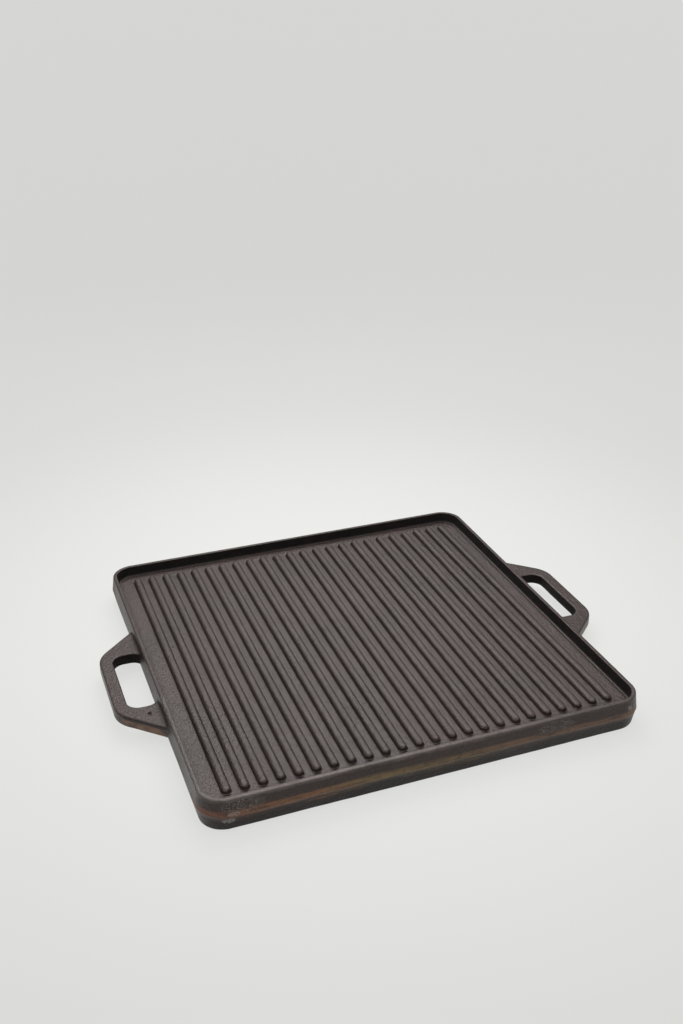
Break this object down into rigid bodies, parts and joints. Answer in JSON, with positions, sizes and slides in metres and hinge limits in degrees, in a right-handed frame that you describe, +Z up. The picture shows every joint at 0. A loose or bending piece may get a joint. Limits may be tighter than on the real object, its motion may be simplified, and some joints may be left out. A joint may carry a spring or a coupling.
{
  "type": "griddle plate",
  "caption": "Square reversible cast iron griddle plate with a raised rim, a ribbed grill face, a flat face underneath and a loop handle on two opposite sides.",
  "frame": {"origin": "centre of the footprint, on the surface that the plate lies on with its ribbed face up", "axes": "+X towards the right-hand loop handle, Y along the grill ribs, +Z up out of the ribbed face"},
  "size_m": [0.431, 0.3636, 0.0273],
  "materials": {
    "seasoned_iron": "oil-seasoned sand-cast satin"
  },
  "bodies": {
    "root": {"cooking_plate": "seasoned_iron", "rim": "seasoned_iron", "handle_left": "seasoned_iron", "handle_right": "seasoned_iron", "rib_01": "seasoned_iron", "rib_02": "seasoned_iron", "rib_03": "seasoned_iron", "rib_04": "seasoned_iron", "rib_05": "seasoned_iron", "rib_06": "seasoned_iron", "rib_07": "seasoned_iron", "rib_08": "seasoned_iron", "rib_09": "seasoned_iron", "rib_10": "seasoned_iron", "rib_11": "seasoned_iron", "rib_12": "seasoned_iron", "rib_13": "seasoned_iron", "rib_14": "seasoned_iron", "rib_15": "seasoned_iron", "rib_16": "seasoned_iron", "rib_17": "seasoned_iron", "rib_18": "seasoned_iron", "rib_19": "seasoned_iron", "rib_20": "seasoned_iron", "rib_21": "seasoned_iron", "rib_22": "seasoned_iron", "rib_23": "seasoned_iron", "rib_24": "seasoned_iron"}
  },
  "joints": []
}
